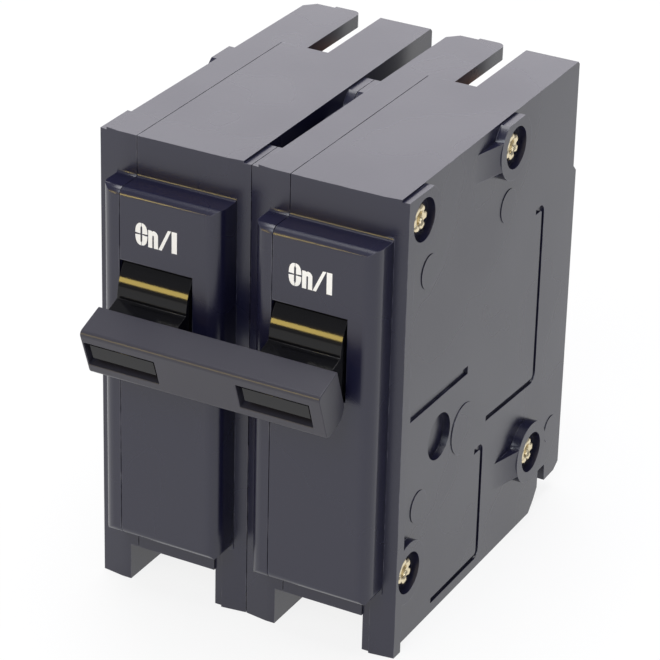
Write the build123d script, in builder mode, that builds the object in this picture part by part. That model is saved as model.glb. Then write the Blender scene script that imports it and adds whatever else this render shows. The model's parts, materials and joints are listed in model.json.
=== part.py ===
# Two-pole common-trip plug-on circuit breaker, one inch per pole.
# Axes: +X right across the poles, +Y from the handles to the line jaws, +Z up; in millimetres.
# The origin is on the floor, midway between the poles and midway from front to back.
# Each pole is drawn from its own left plane: "across" is measured from there, "depth" from the
# front wall of the case and "height" from the bottom edges that the breaker stands on.
from math import asin, atan2, degrees, hypot
import os

from build123d import *

os.makedirs("parts", exist_ok=True)

# ---- case envelope ----
pitch = 25.4            # width of one pole
case_height = 74.8
case_depth = 59.8       # front wall to the rear face beside the line jaws
rear_step = 1.0         # the lower rear face stands out this far
rear_step_drop = 18.6   # its top edge, below the case's top
rear_step_top = case_height - rear_step_drop
front_y = -23.25        # where the front wall lies, with the origin in the middle of the whole
wall = 2.2              # top, rear and front walls
floor_wall = 2.6
side_wall = 1.9         # least side wall
rim_depth = 2.6         # front rim that reaches the next pole
rim_slope = 0.5         # the outer front strips fall back this far
crease_left = 3.6
crease_right = 21.6
relief_front = 1.2      # how far the side walls stay off the next pole, at the front
relief_rear = 1.8       # and at the rear
parting = 6.6           # cover on its left, base on its right
joint_gap = 0.1         # gap between pieces that slide into each other
shaft_gap = 0.06        # radial running fit of pins and trunnions
rest_gap = 0.3          # gap between pieces that only lie near each other

# ---- raised front block with the handle window ----
block_reach = 4.9
block_left = 3.25
block_right = 23.25
block_bottom = 10.6
block_drop = 6.5        # block's top face, below the case's top
block_top = case_height - block_drop
block_round = 2.2
block_top_round = 1.3
block_foot_round = 1.6
block_root_round = 0.5
block_corner_round = 1.7
block_core = 2.2        # wall left around the hollow in the block
pivot_depth = 3.0
pivot_drop = 23.9       # handle pivot, below the case's top
pivot_height = case_height - pivot_drop
window_right = 18.9
window_below = 7.1      # from the pivot down
window_above = 6.2      # and up
window_bottom = pivot_height - window_below
window_top = pivot_height + window_above

# ---- line slot between the cover's tongue and the base ----
slot_left = 11.1
slot_right = 14.75
slot_run = 17.6         # from the rear face forward
slot_front = case_depth - slot_run

# ---- rivets and their bosses ----
rivet_drop = 4.7        # upper rivets, below the case's top
rivet_ahead = 7.5       # upper rear rivet, in front of the line slot
rivet_behind = 13.8     # lower rear rivet, in front of the rear face
rivet_points = [
    (5.25, case_height - rivet_drop),
    (slot_front - rivet_ahead, case_height - rivet_drop),
    (case_depth - rivet_behind, 13.5),
    (4.5, 12.8),
]
boss_r = 5.05
boss_drop = 0.4         # the upper bosses and the rim end this far below the case's top
column_r = 4.2
rivet_r = 1.6
rivet_bore_r = 0.9
rivet_head_r = 2.35
rivet_head_thick = 0.7
counterbore_r = 3.3
counterbore_depth = 1.3
ramp_rise = 6.3         # length of the wedge in front of a boss
ramp_half = 2.3         # half its height
ramp_root = 0.05        # its thin end starts this far under the skin

# ---- dimple and grooves on the outer side wall ----
dimple_point = (15.3, 30.4)
dimple_r = 3.7
dimple_depth = 1.1
groove_width = 0.9
groove_depth = 0.4
groove_round = 1.0
groove_hook = 2.6       # short return at the top of a frame line
frame_low = 24.75
frame_lift = 1.0        # the upper frame's lower line rises to the front
frame_top = 54.6
frame_behind = 10.85
label_front = 14.7
label_rear = 30.65
label_low = 2.15
label_top = 21.6
bar_groove_width = 1.9
bar_groove_height = 37.2
bar_groove_front = 5.4
bar_groove_rear = 24.4
bar_groove_fall = 0.4   # its rear end lies lower and is narrower
bar_groove_taper = 0.6

# ---- terminal compartment at the bottom ----
leg_left = 5.2          # inner face of the left leg
leg_right = 20.0        # inner face of the right leg
leg_crease = 1.3
leg_set_back = 0.4
mouth_top = 6.1
bay_front = 8.9
bay_rear = 26.0
bay_top = 10.5
bay_wall = 1.2

# ---- rail hook at the bottom rear ----
hook_slot_ahead = 7.1   # the slot's faces, in front of the rear face
hook_slot_behind = 4.7
hook_slot_front = case_depth - hook_slot_ahead
hook_slot_rear = case_depth - hook_slot_behind
hook_slot_top = 6.4
foot_height = 3.4

# ---- line jaw compartment at the top rear ----
line_wall = 1.8
line_drop = 16.4        # its floor, below the case's top
line_floor = case_height - line_drop
line_floor_thick = 1.4
tongue_chamfer = 2.2
tongue_round = 1.4

# ---- handle ----
barrel_r = 9.2
barrel_gap = 0.35
handle_left = 6.9
handle_right = 18.6
handle_rest = 20.0      # lever below level when off
handle_throw = 35.0
lever_half = 3.6
trunnion_r = 2.4
trunnion_seat = 0.8     # how far trunnions and pins run into the side walls
fork_left = 8.6
fork_right = 14.4
fork_face = 3.5         # the fork opens this far behind the pivot
arm_pin_reach = 8.0
arm_pin_r = 1.0

# ---- handle tie bar, in the lever's own frame ----
tie_inner = 11.4
tie_outer = 17.1
tie_half_height = 4.2
tie_short = 5.6         # the bar's ends, in from the case's sides
tie_half_length = pitch - tie_short
tie_round = 0.8
tie_bevel = 1.4
tie_window_left = 5.9
tie_window_right = 17.8
tie_window_low = -2.3
tie_window_high = 2.2
tenon_left = 7.0
tenon_low = -0.5

# ---- contact arm, in its own frame ----
arm_left = 11.9
arm_thick = 2.0
arm_rest = 5.0          # below level when off
arm_eye_r = 3.0
arm_short = 30.8        # the arm is this much shorter than the case is deep
arm_length = case_depth - arm_short
arm_half = 2.0
contact_end = 2.0       # contact, spring post and braid, back from the arm's tip
post_end = 6.4
braid_end = 8.7
contact_at = arm_length - contact_end
contact_r = 1.9
contact_thick = 1.3
pad_half_width = 2.2
pad_half_length = 2.2
pad_thick = 0.8
button_edge = 0.3
contact_gap = 0.1       # between the two contacts when closed
post_at = arm_length - post_end
braid_at = arm_length - braid_end
post_r = 0.6

# ---- cradle ----
cradle_rise = 15.6      # cradle pin, above the handle's pivot
cradle_point = (16.5, pivot_height + cradle_rise)
cradle_pin_r = 1.3
cradle_left = 9.0
cradle_thick = 1.5
post_rise = 1.5
cradle_post = (16.2, pivot_height + post_rise)

# ---- toggle spring ----
spring_across = 6.3
spring_r = 1.5
spring_bore_r = 0.7
spring_wire = 0.6
spring_turns = 18
spring_eye_r = 1.3
spring_eye_thick = 0.8

# ---- thermal and magnetic trip ----
strap_left = 9.6
strap_width = 6.0
strap_thick = 1.2
strap_front = 12.0
strap_low = 9.0
strap_leg_top = 23.6
bimetal_behind = 20.0
bimetal_back = case_depth - bimetal_behind
bimetal_thick = 1.0
bimetal_width = 5.6
bimetal_low = 11.0
bimetal_drop = 4.9      # its top, below the handle's pivot
bimetal_top = pivot_height - bimetal_drop
centre = 12.6           # the mechanism's middle across a pole
yoke_half_width = 4.7
yoke_thick = 1.4
yoke_low = 25.0
yoke_top = 36.5
yoke_reach = 4.0
yoke_front = bimetal_back - yoke_reach
armature_ahead = 5.8    # its rod, in front of the bimetal's back
armature_point = (bimetal_back - armature_ahead, 23.0)
armature_rod_r = 0.9
armature_thick = 1.2
armature_half_width = 2.9
armature_drop = 9.9     # its top, below the handle's pivot
armature_top = pivot_height - armature_drop
latch_ahead = 2.4       # the cradle's tip, in front of the armature's rod
latch_drop = 12.3       # and below the handle's pivot
latch_point = (armature_point[0] - latch_ahead, pivot_height - latch_drop)
latch_half_thick = 0.6
ear_r = 1.9
screw_height = 20.8
set_screw_r = 1.3
set_screw_head_r = 2.3
set_screw_head = 1.6
set_screw_reach = 5.2

# ---- common trip bar ----
trip_ahead = 4.5        # in front of the armature's rod
trip_lift = 0.2         # above halfway from that rod to the latch
trip_point = (
    armature_point[0] - trip_ahead,
    (armature_point[1] + latch_point[1]) / 2 + trip_lift,
)
trip_r = 1.6
trip_hub_r = 2.5
finger_left = 11.6
finger_width = 2.0
finger_root = 1.5
finger_slope = 1.6
finger_low = 3.2
finger_high = 4.6
finger_heel = 1.8

# ---- arc chute ----
chute_ahead = 24.3      # its faces, in front of the rear face
chute_behind = 11.8
chute_front = case_depth - chute_ahead
chute_rear = case_depth - chute_behind
chute_drop = 3.3        # its foot, below the handle's pivot
chute_low = pivot_height - chute_drop
chute_plate = 1.0
chute_pitch = 2.0
chute_count = 4
chute_side = 0.6
chute_notch_half = 3.5
chute_notch = 5.9
chute_notch_rear = chute_front + chute_notch

# ---- line jaw ----
jaw_clear = 1.4         # behind the slot's front
jaw_behind = 2.4        # its lips, in front of the rear face
jaw_lift = 1.6          # above the compartment's floor
jaw_drop = 4.0          # below the case's top
jaw_front = slot_front + jaw_clear
jaw_rear = case_depth - jaw_behind
jaw_low = line_floor + jaw_lift
jaw_high = case_height - jaw_drop
jaw_thick = 0.8
jaw_grip_half = 0.7
jaw_root_half = 1.0
jaw_grip_behind = 5.8
jaw_grip_depth = case_depth - jaw_grip_behind
line_strap_half = 2.1
line_strap_thick = 1.2
line_strap_foot = 2.6   # half the length of the contact's seat
line_strap_rise = 0.6   # level run, above the seat's rear end
line_strap_lift = 5.2   # level run, above the compartment's floor
line_strap_low = line_floor + line_strap_lift

# ---- terminal lug and screw ----
lug_half_width = 5.5
lug_front = 11.0
lug_rear = 24.4
lug_low = 0.8
wire_r = 3.2
wire_depth = 18.4
lug_screw_height = 3.2
lug_screw_r = 2.0
lug_screw_head_r = 2.75
lug_screw_head = 1.8
driver_slot = 0.9
driver_slot_depth = 0.9

# ---- braid ----
braid_r = 0.7
braid_bend = 1.0
braid_side = 9.4        # across, where it runs beside the arm
braid_start = 11.0
braid_lead = 3.2        # straight run off the bimetal
braid_drop = 1.6        # its weld, below the bimetal's top
braid_sag = 3.0
braid_back = 1.6

wall_left = relief_rear + side_wall - 0.6
wall_right = pitch - wall_left - 0.2
overshoot = 1.0         # how far a cutter runs past the face that it opens


def across(x):
    """A plane seen from the side: its own x is depth, its own y is height."""
    return Plane(origin=(x, front_y, 0), x_dir=(0, 1, 0), z_dir=(1, 0, 0))


def level(x, height):
    """A plane seen from above: its own x is across, its own y is depth."""
    return Plane(origin=(x, front_y, height), x_dir=(1, 0, 0), z_dir=(0, 0, 1))


def facing(x, depth):
    """A plane seen from the front: its own x is across, its own y is height."""
    return Plane(origin=(x, front_y + depth, 0), x_dir=(1, 0, 0), z_dir=(0, -1, 0))


def turned(x, depth, height, angle):
    """A side plane with its origin on a pivot and its own x raised by an angle."""
    way = Vector(0, 1, 0).rotate(Axis.X, angle)
    return Plane(origin=(x, front_y + depth, height), x_dir=way, z_dir=(1, 0, 0))


def rect(low_x, low_y, high_x, high_y, mode=Mode.ADD):
    """A rectangle in a sketch from its two corners."""
    with Locations(((low_x + high_x) / 2, (low_y + high_y) / 2)):
        Rectangle(high_x - low_x, high_y - low_y, mode=mode)


def round_corner(sketch, point, radius):
    """Round the sketch's corner nearest to a point."""
    fillet(sketch.vertices().sort_by_distance((point[0], point[1], 0))[0], radius)


def side_trim(edge, hand, block_edge, crease):
    """In plan, what a pole's outer side loses beside the block and behind the front rim."""
    out = edge + hand * overshoot
    ahead = -block_reach - overshoot
    behind = case_depth + rear_step + overshoot
    strip = rim_slope * (block_edge - crease) / (edge - crease)
    inner = block_edge - hand * block_round
    rect(min(inner, out), ahead, max(inner, out), block_round - block_reach)
    with Locations((inner, block_round - block_reach)):
        Circle(block_round, mode=Mode.SUBTRACT)
    Polygon(
        (block_edge, ahead),
        (out, ahead),
        (out, rim_slope),
        (edge, rim_slope),
        (block_edge, max(strip, 0)),
        align=None,
    )
    Polygon(
        (edge - hand * relief_front, rim_depth),
        (out, rim_depth),
        (out, behind),
        (edge - hand * relief_rear, behind),
        align=None,
    )


def crown_trim(edge, hand):
    """In plan, what the side loses right below the case's top, along the whole of it."""
    out = edge + hand * overshoot
    behind = case_depth + rear_step + overshoot
    Polygon(
        (edge - hand * relief_front, -overshoot),
        (out, -overshoot),
        (out, behind),
        (edge - hand * relief_rear, behind),
        (edge - hand * relief_front, rim_depth),
        align=None,
    )


def corner_trim(edge, hand):
    """From the front, what rounds the block's lower corner on one side."""
    inner = edge - hand * block_corner_round
    out = edge + hand * overshoot
    middle = block_bottom + block_corner_round
    rect(min(inner, out), block_bottom - overshoot, max(inner, out), middle)
    with Locations((inner, middle)):
        Circle(block_corner_round, mode=Mode.SUBTRACT)


def strip_trim(edge, hand, crease):
    """In plan, what the sloping front strip loses above and below the block."""
    out = edge + hand * overshoot
    ahead = -block_reach - overshoot
    Polygon((crease, 0), (edge, rim_slope), (out, rim_slope), (out, ahead), (crease, ahead), align=None)


def case_outline():
    """The closed side outline of the case, block, rear step and rail hook."""
    rear = case_depth + rear_step
    Polygon(
        (0, 0),
        (0, block_bottom),
        (-block_reach, block_bottom),
        (-block_reach, block_top),
        (0, block_top),
        (0, case_height),
        (case_depth - 0.5, case_height),
        (case_depth, case_height - 0.5),
        (case_depth, rear_step_top + rear_step),
        (rear, rear_step_top),
        (rear - 0.2, foot_height + 1.1),
        (rear - 1.8, foot_height + 0.1),
        (hook_slot_rear + 0.3, foot_height),
        (hook_slot_rear, hook_slot_top),
        (hook_slot_front, hook_slot_top),
        (hook_slot_front, foot_height),
        (hook_slot_front - 1.3, 1.6),
        (hook_slot_front - 2.9, 0),
        align=None,
    )


def chamber_outline():
    """The mechanism's chamber, with the lower rear column left standing."""
    column_top = rivet_points[1][1] - column_r - 0.3
    line_front = slot_front - line_wall
    rear = case_depth + rear_step - 0.2 - wall - 0.6
    Polygon(
        (wall, block_bottom + 6.8),
        (wall, column_top - 0.2),
        (rivet_points[0][0] + column_r + 0.4, column_top - 0.2),
        (rivet_points[0][0] + column_r + 0.4, case_height - wall),
        (rivet_points[1][0] - column_r - 0.3, case_height - wall),
        (rivet_points[1][0] - column_r - 0.3, column_top),
        (line_front, column_top),
        (line_front, line_floor - line_floor_thick),
        (rear, line_floor - line_floor_thick),
        (rear, hook_slot_top + 2.4),
        (hook_slot_front - 2.1, hook_slot_top + 2.4),
        (hook_slot_front - 2.1, floor_wall + 1.8),
        (hook_slot_front - 3.5, floor_wall),
        (bay_rear + bay_wall, floor_wall),
        (bay_rear + bay_wall, bay_top + 1.8),
        (bay_front + 0.3, bay_top + 1.8),
        (bay_front + 0.3, block_bottom + 6.8),
        align=None,
    )
    with Locations(rivet_points[2]):
        Circle(column_r, mode=Mode.SUBTRACT)


def bay_outline():
    """The terminal compartment, open at the bottom and between the legs."""
    Polygon(
        (-overshoot, -overshoot),
        (-overshoot, mouth_top),
        (bay_front, mouth_top),
        (bay_front, bay_top),
        (bay_rear, bay_top),
        (bay_rear, -overshoot),
        align=None,
    )


pin_angle = handle_rest
arm_pin_off = Vector(0, arm_pin_reach, 0).rotate(Axis.X, pin_angle)
arm_pin_on = Vector(0, arm_pin_reach, 0).rotate(Axis.X, pin_angle - handle_throw)
off_depth = pivot_depth + arm_pin_off.Y
off_height = pivot_height + arm_pin_off.Z
on_depth = pivot_depth + arm_pin_on.Y
on_height = pivot_height + arm_pin_on.Z
post_off = Vector(0, post_at, 0).rotate(Axis.X, -arm_rest)
post_depth = off_depth + post_off.Y
post_height = off_height + post_off.Z
# the arm closes where the end of the fixed contact's seat meets the line strap
strap_foot = arm_half + 2 * contact_thick + contact_gap
seat_reach = contact_at + line_strap_foot
seat_rise = line_strap_low - line_strap_rise - on_height
arm_closed = degrees(asin(seat_rise / hypot(seat_reach, strap_foot)) - atan2(strap_foot, seat_reach))
seat_end = turned(0, on_depth, on_height, arm_closed).from_local_coords((seat_reach, strap_foot, 0))

frame_rear = case_depth - frame_behind
panel_frames = (
    (label_rear + 1.0, frame_low + frame_lift, frame_rear, frame_low, frame_top),
    (label_front, label_low, label_rear, label_low, label_top),
)
# the outer sides draw in toward the rear by this much per millimetre
lean = (relief_front - relief_rear) / (case_depth + rear_step - rim_depth)
strip_heights = (
    (-overshoot, block_bottom),
    (block_top + block_root_round, case_height + overshoot),
)

for side, left in (("left", -pitch), ("right", 0.0)):
    outer = side == "right"

    # ---- base: the moulded half that carries the mechanism ----
    with BuildPart() as base:
        with BuildSketch(across(left + parting)) as outline:
            case_outline()
            round_corner(outline, (-block_reach, block_top), block_top_round)
            round_corner(outline, (-block_reach, block_bottom), block_foot_round)
            round_corner(outline, (0, block_top), block_root_round)
        extrude(amount=pitch - parting)
        with BuildSketch(level(left, -overshoot)):
            side_trim(pitch, 1, block_right, crease_right)
        extrude(amount=case_height + 2 * overshoot, mode=Mode.SUBTRACT)
        for low, high in strip_heights:
            with BuildSketch(level(left, low)):
                strip_trim(pitch, 1, crease_right)
            extrude(amount=high - low, mode=Mode.SUBTRACT)
        with BuildSketch(facing(left, 0)):
            corner_trim(block_right, 1)
        extrude(amount=block_reach + overshoot, mode=Mode.SUBTRACT)
        # bosses around the rivets reach the next pole
        with BuildSketch(across(left + wall_right)):
            with Locations(rivet_points):
                Circle(boss_r)
            rect(rim_slope, 0, case_depth, case_height, mode=Mode.INTERSECT)
        extrude(amount=pitch - wall_right)
        # wedges that rise to the two rear bosses
        for depth, height in rivet_points[1:3]:
            ramp_start = depth - column_r - ramp_rise
            ramp_edge = pitch - relief_front + lean * (ramp_start - rim_depth) - ramp_root
            with BuildSketch(level(left, height - ramp_half)):
                Polygon(
                    (wall_right, ramp_start),
                    (ramp_edge, ramp_start),
                    (pitch, depth - column_r),
                    (wall_right, depth - column_r),
                    align=None,
                )
            extrude(amount=2 * ramp_half)
        with BuildSketch(level(left, case_height - boss_drop)):
            crown_trim(pitch, 1)
        extrude(amount=boss_drop + overshoot, mode=Mode.SUBTRACT)
        # chamber, terminal bay and line compartment
        with BuildSketch(across(left + parting)):
            chamber_outline()
        extrude(amount=wall_right - parting, mode=Mode.SUBTRACT)
        with BuildSketch(across(left + parting)):
            bay_outline()
        extrude(amount=leg_right - parting, mode=Mode.SUBTRACT)
        with BuildSketch(across(left + parting)):
            rect(slot_front, line_floor, case_depth + 2 * rear_step, case_height + overshoot)
        extrude(amount=slot_right - parting, mode=Mode.SUBTRACT)
        with BuildSketch(facing(left, 0)):
            rect(leg_right, -overshoot, leg_right + leg_crease, block_bottom - 1.0)
        extrude(amount=-leg_set_back, mode=Mode.SUBTRACT)
        # hollow of the block, below and above the handle
        with BuildSketch(across(left + parting)):
            rect(block_core - block_reach, block_bottom + 3.4, wall, pivot_height - barrel_r - 2.1)
            rect(block_core - block_reach, pivot_height + barrel_r + 1.9, wall, block_top - block_core)
        extrude(amount=block_right - block_core - parting, mode=Mode.SUBTRACT)
        # handle window and barrel pocket
        with BuildSketch(across(left + parting)):
            rect(-block_reach - overshoot, window_bottom, wall, window_top)
            with Locations((pivot_depth, pivot_height)):
                Circle(barrel_r + barrel_gap)
        extrude(amount=window_right - parting, mode=Mode.SUBTRACT)
        # strap passages through the line wall and the bay's rear wall
        with BuildSketch(across(left + centre - strap_width / 2 - rest_gap)):
            passage_top = line_strap_low + line_strap_thick + rest_gap
            rect(slot_front - line_wall, line_strap_low - rest_gap, slot_front, passage_top)
            rect(bay_rear, strap_low - rest_gap, bay_rear + bay_wall, bay_top)
        extrude(amount=strap_width + 2 * rest_gap, mode=Mode.SUBTRACT)
        # bearings
        with BuildSketch(across(left + window_right)):
            with Locations((pivot_depth, pivot_height)):
                Circle(trunnion_r + shaft_gap)
        extrude(amount=wall_right + trunnion_seat - window_right, mode=Mode.SUBTRACT)
        with BuildSketch(across(left + wall_right)):
            with Locations(cradle_point):
                Circle(cradle_pin_r + shaft_gap)
        extrude(amount=trunnion_seat, mode=Mode.SUBTRACT)
        with BuildSketch(across(left + wall_right)):
            with Locations(trip_point):
                Circle(trip_r + shaft_gap)
        extrude(amount=trunnion_seat if outer else pitch - wall_right, mode=Mode.SUBTRACT)
        # rivet holes and counterbores
        with BuildSketch(across(left + parting)):
            with Locations(rivet_points):
                Circle(rivet_r + joint_gap)
        extrude(amount=pitch - parting, mode=Mode.SUBTRACT)
        with BuildSketch(across(left + pitch - counterbore_depth)):
            with Locations(rivet_points):
                Circle(counterbore_r)
        extrude(amount=counterbore_depth, mode=Mode.SUBTRACT)
        # dimple and grooves moulded into the outer side wall
        skin = Plane(
            origin=(left + pitch - relief_front - rim_depth * lean, front_y, 0),
            x_dir=(lean, 1, 0),
            z_dir=(1, -lean, 0),
        )
        with BuildSketch(skin.offset(overshoot)):
            with Locations(dimple_point):
                Circle(dimple_r)
        extrude(amount=-dimple_depth - overshoot, mode=Mode.SUBTRACT)
        for front, front_low, rear, low, top in panel_frames:
            with BuildSketch(skin.offset(overshoot)):
                with BuildLine():
                    FilletPolyline(
                        (front, front_low),
                        (rear, low),
                        (rear, top),
                        (rear - groove_hook, top),
                        radius=groove_round,
                    )
                trace(line_width=groove_width)
            extrude(amount=-groove_depth - overshoot, mode=Mode.SUBTRACT)
        bar_rear_low = bar_groove_height - bar_groove_fall
        with BuildSketch(skin.offset(overshoot)):
            Polygon(
                (bar_groove_front, bar_groove_height),
                (bar_groove_rear, bar_rear_low),
                (bar_groove_rear, bar_rear_low + bar_groove_width - bar_groove_taper),
                (bar_groove_front, bar_groove_height + bar_groove_width),
                align=None,
            )
        extrude(amount=-groove_depth - overshoot, mode=Mode.SUBTRACT)
    base.part.label = f"base_{side}"
    export_step(base.part, f"parts/base_{side}.step")

    # ---- cover: the moulded half on the left of the pole ----
    with BuildPart() as cover:
        with BuildSketch(across(left)) as outline:
            case_outline()
            round_corner(outline, (-block_reach, block_top), block_top_round)
            round_corner(outline, (-block_reach, block_bottom), block_foot_round)
            round_corner(outline, (0, block_top), block_root_round)
        extrude(amount=parting)
        with BuildSketch(level(left, -overshoot)):
            side_trim(0, -1, block_left, crease_left)
        extrude(amount=case_height + 2 * overshoot, mode=Mode.SUBTRACT)
        for low, high in strip_heights:
            with BuildSketch(level(left, low)):
                strip_trim(0, -1, crease_left)
            extrude(amount=high - low, mode=Mode.SUBTRACT)
        with BuildSketch(facing(left, 0)):
            corner_trim(block_left, -1)
        extrude(amount=block_reach + overshoot, mode=Mode.SUBTRACT)
        with BuildSketch(across(left)):
            with Locations(rivet_points):
                Circle(boss_r)
            rect(rim_slope, 0, case_depth, case_height, mode=Mode.INTERSECT)
        extrude(amount=wall_left)
        with BuildSketch(level(left, case_height - boss_drop)):
            crown_trim(0, -1)
        extrude(amount=boss_drop + overshoot, mode=Mode.SUBTRACT)
        with BuildSketch(across(left + wall_left)):
            chamber_outline()
        extrude(amount=parting - wall_left, mode=Mode.SUBTRACT)
        with BuildSketch(across(left + leg_left)):
            bay_outline()
        extrude(amount=parting - leg_left, mode=Mode.SUBTRACT)
        with BuildSketch(across(left + wall_left)):
            rect(slot_front, line_floor, case_depth + 2 * rear_step, case_height - wall)
        extrude(amount=parting - wall_left, mode=Mode.SUBTRACT)
        with BuildSketch(across(left + block_left + block_core)):
            rect(block_core - block_reach, block_bottom + 3.4, wall, pivot_height - barrel_r - 2.1)
            rect(block_core - block_reach, pivot_height + barrel_r + 1.9, wall, block_top - block_core)
        extrude(amount=parting - block_left - block_core, mode=Mode.SUBTRACT)
        # roof tongue over the line compartment
        with BuildSketch(level(left, case_height - wall)) as tongue:
            rect(parting, slot_front, slot_left, case_depth)
            round_corner(tongue, (slot_left, case_depth), tongue_round)
        extrude(amount=wall)
        with BuildSketch(level(left, line_floor)):
            Polygon(
                (relief_rear - overshoot, case_depth - tongue_chamfer),
                (relief_rear, case_depth - tongue_chamfer),
                (relief_rear + tongue_chamfer, case_depth + joint_gap),
                (relief_rear - overshoot, case_depth + joint_gap),
                align=None,
            )
        extrude(amount=case_height, mode=Mode.SUBTRACT)
        with BuildSketch(across(left + parting)):
            with Locations((pivot_depth, pivot_height)):
                Circle(trunnion_r + shaft_gap)
        extrude(amount=wall_left - trunnion_seat - parting, mode=Mode.SUBTRACT)
        with BuildSketch(across(left + wall_left)):
            with Locations(cradle_point):
                Circle(cradle_pin_r + shaft_gap)
        extrude(amount=-trunnion_seat, mode=Mode.SUBTRACT)
        with BuildSketch(across(left + wall_left)):
            with Locations(trip_point):
                Circle(trip_r + shaft_gap)
        extrude(amount=-wall_left if outer else -trunnion_seat, mode=Mode.SUBTRACT)
        with BuildSketch(across(left)):
            with Locations(rivet_points):
                Circle(rivet_r + joint_gap)
        extrude(amount=parting, mode=Mode.SUBTRACT)
        with BuildSketch(across(left)):
            with Locations(rivet_points):
                Circle(counterbore_r)
        extrude(amount=counterbore_depth, mode=Mode.SUBTRACT)
    cover.part.label = f"cover_{side}"
    export_step(cover.part, f"parts/cover_{side}.step")

    # ---- handle: barrel, lever, tenon for the tie bar, fork and trunnions ----
    with BuildPart() as handle:
        lever_angle = 180 + handle_rest
        with BuildSketch(turned(left + handle_left, pivot_depth, pivot_height, lever_angle)):
            Circle(barrel_r)
            rect(0, -lever_half, tie_inner, lever_half)
        extrude(amount=handle_right - handle_left)
        with BuildSketch(turned(left + tenon_left, pivot_depth, pivot_height, lever_angle)):
            rect(tie_inner - joint_gap, joint_gap - tie_window_high, tie_outer, -tenon_low)
        extrude(amount=tie_window_right - joint_gap - tenon_left)
        with BuildSketch(turned(left + fork_left, pivot_depth, pivot_height, lever_angle)):
            rect(-2 * barrel_r, -barrel_r, -fork_face, barrel_r)
        extrude(amount=fork_right - fork_left, mode=Mode.SUBTRACT)
        with BuildSketch(across(left + wall_left - trunnion_seat + joint_gap)):
            with Locations((pivot_depth, pivot_height)):
                Circle(trunnion_r)
        extrude(amount=handle_left - wall_left + trunnion_seat - joint_gap)
        with BuildSketch(across(left + handle_right)):
            with Locations((pivot_depth, pivot_height)):
                Circle(trunnion_r)
        extrude(amount=wall_right + trunnion_seat - joint_gap - handle_right)
        with BuildSketch(across(left + handle_left)):
            with Locations((off_depth, off_height)):
                Circle(arm_pin_r + shaft_gap)
        extrude(amount=handle_right - handle_left, mode=Mode.SUBTRACT)
    handle.part.label = f"handle_{side}"
    export_step(handle.part, f"parts/handle_{side}.step")

    # ---- arm pin: carries the contact arm in the handle's fork ----
    with BuildPart() as arm_pin:
        with BuildSketch(across(left + handle_left + joint_gap)):
            with Locations((off_depth, off_height)):
                Circle(arm_pin_r)
        extrude(amount=handle_right - handle_left - 2 * joint_gap)
    arm_pin.part.label = f"arm_pin_{side}"
    export_step(arm_pin.part, f"parts/arm_pin_{side}.step")

    # ---- contact arm with its spring post and contact pad ----
    with BuildPart() as contact_arm:
        with BuildSketch(turned(left + arm_left, off_depth, off_height, -arm_rest)):
            Circle(arm_eye_r)
            Polygon(
                (0, -arm_eye_r),
                (contact_at - pad_half_length, -arm_half),
                (arm_length, -arm_half),
                (arm_length, arm_half),
                (contact_at - pad_half_length, arm_half),
                (0, arm_eye_r),
                align=None,
            )
        extrude(amount=arm_thick)
        with BuildSketch(turned(left + arm_left, off_depth, off_height, -arm_rest)):
            Circle(arm_pin_r + shaft_gap)
        extrude(amount=arm_thick, mode=Mode.SUBTRACT)
        arm_middle = arm_left + arm_thick / 2
        with BuildSketch(turned(left + arm_middle - pad_half_width, off_depth, off_height, -arm_rest)):
            rect(contact_at - pad_half_length, arm_half - pad_thick, contact_at + pad_half_length, arm_half)
        extrude(amount=2 * pad_half_width)
        with BuildSketch(across(left + spring_across - spring_eye_thick)):
            with Locations((post_depth, post_height)):
                Circle(post_r)
        extrude(amount=arm_left - spring_across + spring_eye_thick)
    contact_arm.part.label = f"contact_arm_{side}"
    export_step(contact_arm.part, f"parts/contact_arm_{side}.step")

    # ---- moving contact: silver button on the pad ----
    arm_frame = turned(left + arm_middle, off_depth, off_height, -arm_rest)
    button_seat = Plane(
        origin=arm_frame.from_local_coords((contact_at, arm_half, 0)),
        x_dir=(1, 0, 0),
        z_dir=arm_frame.y_dir,
    )
    with BuildPart() as moving_contact:
        with BuildSketch(button_seat):
            Circle(contact_r)
        extrude(amount=contact_thick)
        chamfer(moving_contact.edges().filter_by(GeomType.CIRCLE).sort_by(Axis.Z)[-1], button_edge)
    moving_contact.part.label = f"moving_contact_{side}"
    export_step(moving_contact.part, f"parts/moving_contact_{side}.step")

    # ---- cradle: latched lever on its pin, with a post for the toggle spring ----
    elbow = (cradle_point[0] + latch_point[0]) / 2
    with BuildPart() as cradle:
        with BuildSketch(across(left + cradle_left)):
            Polygon(
                (cradle_point[0] - 3.1, cradle_point[1] - 0.5),
                (cradle_point[0] - 1.5, cradle_point[1] + 2.7),
                (cradle_point[0] + 2.3, cradle_point[1] + 2.5),
                (cradle_point[0] + 3.7, cradle_point[1] - 1.0),
                (elbow + 0.45, cradle_point[1] - 10.5),
                (latch_point[0] + 1.4, latch_point[1] + 2.0),
                latch_point,
                (latch_point[0] - 2.0, latch_point[1] + 1.0),
                (elbow - 2.05, cradle_point[1] - 13.0),
                (cradle_post[0] + 1.6, cradle_post[1] + 2.2),
                (cradle_post[0] + 1.1, cradle_post[1] - 1.2),
                (cradle_post[0] - 1.3, cradle_post[1] - 1.2),
                (cradle_post[0] - 1.8, cradle_post[1] + 6.0),
                align=None,
            )
            with Locations(cradle_point):
                Circle(cradle_pin_r + shaft_gap, mode=Mode.SUBTRACT)
        extrude(amount=cradle_thick)
        with BuildSketch(across(left + spring_across - spring_eye_thick)):
            with Locations(cradle_post):
                Circle(post_r)
        extrude(amount=cradle_left - spring_across + spring_eye_thick)
    cradle.part.label = f"cradle_{side}"
    export_step(cradle.part, f"parts/cradle_{side}.step")

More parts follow.
